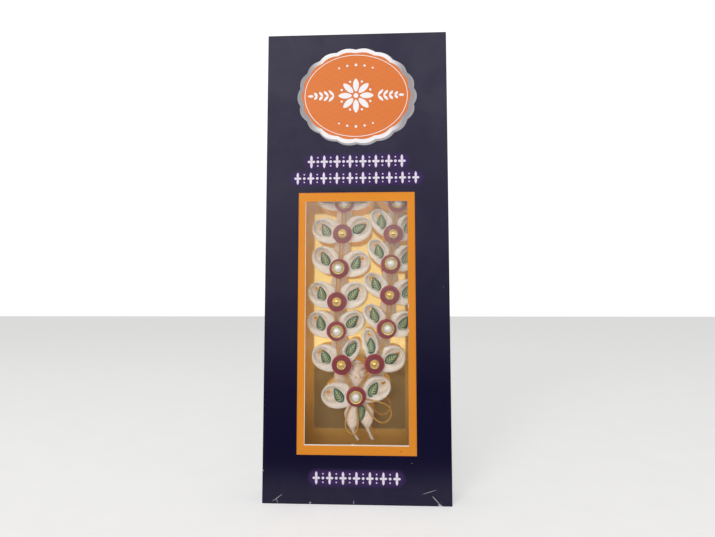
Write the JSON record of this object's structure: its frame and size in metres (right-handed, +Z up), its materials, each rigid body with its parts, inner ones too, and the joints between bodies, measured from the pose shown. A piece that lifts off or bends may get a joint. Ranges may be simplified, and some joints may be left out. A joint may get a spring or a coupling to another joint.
{
  "type": "boxed cotton flower garland",
  "caption": "Upright window carton with a hinged tuck lid, holding a garland of rolled cotton petal flowers with felt discs and beads on gold thread.",
  "frame": {"origin": "the middle of the carton's base, where it stands", "axes": "+X to the viewer's right along the front, +Y from the front into the carton, +Z up; the front with the window faces -Y"},
  "size_m": [0.1, 0.024, 0.256],
  "materials": {
    "printed_board": "dark navy printed carton board with a satin film laminate",
    "grey_board": "uncoated grey carton board",
    "clear_film": "thin clear window film, glossy",
    "gold_card": "metallised gold foil card, almost mirror-like",
    "cotton": "soft carded cotton wool with loose fibres",
    "maroon_felt": "maroon flocked disc",
    "green_foil": "emerald foil leaf stickers",
    "gold_metal": "bright gold bead cups, gold beads and leaf veins",
    "pearl": "pearl beads with a soft lustre",
    "print": "orange and white print on the carton",
    "zari_thread": "twisted metallic gold thread"
  },
  "bodies": {
    "root": {"carton_body": "printed_board", "top_dust_flap_left": "grey_board", "top_dust_flap_right": "grey_board", "bottom_lid": "printed_board", "bottom_tongue": "grey_board", "bottom_dust_flap_left": "grey_board", "bottom_dust_flap_right": "grey_board", "window_film": "clear_film", "gold_card": "gold_card", "flower_left_1_petals": "cotton", "flower_left_1_disc": "maroon_felt", "flower_left_2_petals": "cotton", "flower_left_2_disc": "maroon_felt", "flower_left_3_petals": "cotton", "flower_left_3_disc": "maroon_felt", "flower_left_4_petals": "cotton", "flower_left_4_disc": "maroon_felt", "flower_left_5_petals": "cotton", "flower_left_5_disc": "maroon_felt", "flower_left_6_petals": "cotton", "flower_left_6_disc": "maroon_felt", "flower_left_7_petals": "cotton", "flower_left_7_disc": "maroon_felt", "flower_left_8_petals": "cotton", "flower_left_8_disc": "maroon_felt", "flower_left_9_petals": "cotton", "flower_left_9_disc": "maroon_felt", "strand_threads_left": "zari_thread", "flower_right_1_petals": "cotton", "flower_right_1_disc": "maroon_felt", "flower_right_2_petals": "cotton", "flower_right_2_disc": "maroon_felt", "flower_right_3_petals": "cotton", "flower_right_3_disc": "maroon_felt", "flower_right_4_petals": "cotton", "flower_right_4_disc": "maroon_felt", "flower_right_5_petals": "cotton", "flower_right_5_disc": "maroon_felt", "flower_right_6_petals": "cotton", "flower_right_6_disc": "maroon_felt", "flower_right_7_petals": "cotton", "flower_right_7_disc": "maroon_felt", "flower_right_8_petals": "cotton", "flower_right_8_disc": "maroon_felt", "flower_right_9_petals": "cotton", "flower_right_9_disc": "maroon_felt", "strand_threads_right": "zari_thread", "pendant_petals": "cotton", "pendant_disc": "maroon_felt", "pendant_loop_left": "zari_thread", "pendant_loop_right": "zari_thread"},
    "lid": {"top_lid": "printed_board", "top_tongue": "grey_board"}
  },
  "joints": [
    {"name": "lid_crease", "type": "hinge", "parent": "root", "child": "lid", "pos_m": [0, 0.012, 0.2554], "axis": [-1, 0, 0], "range_deg": [0, 100]}
  ]
}
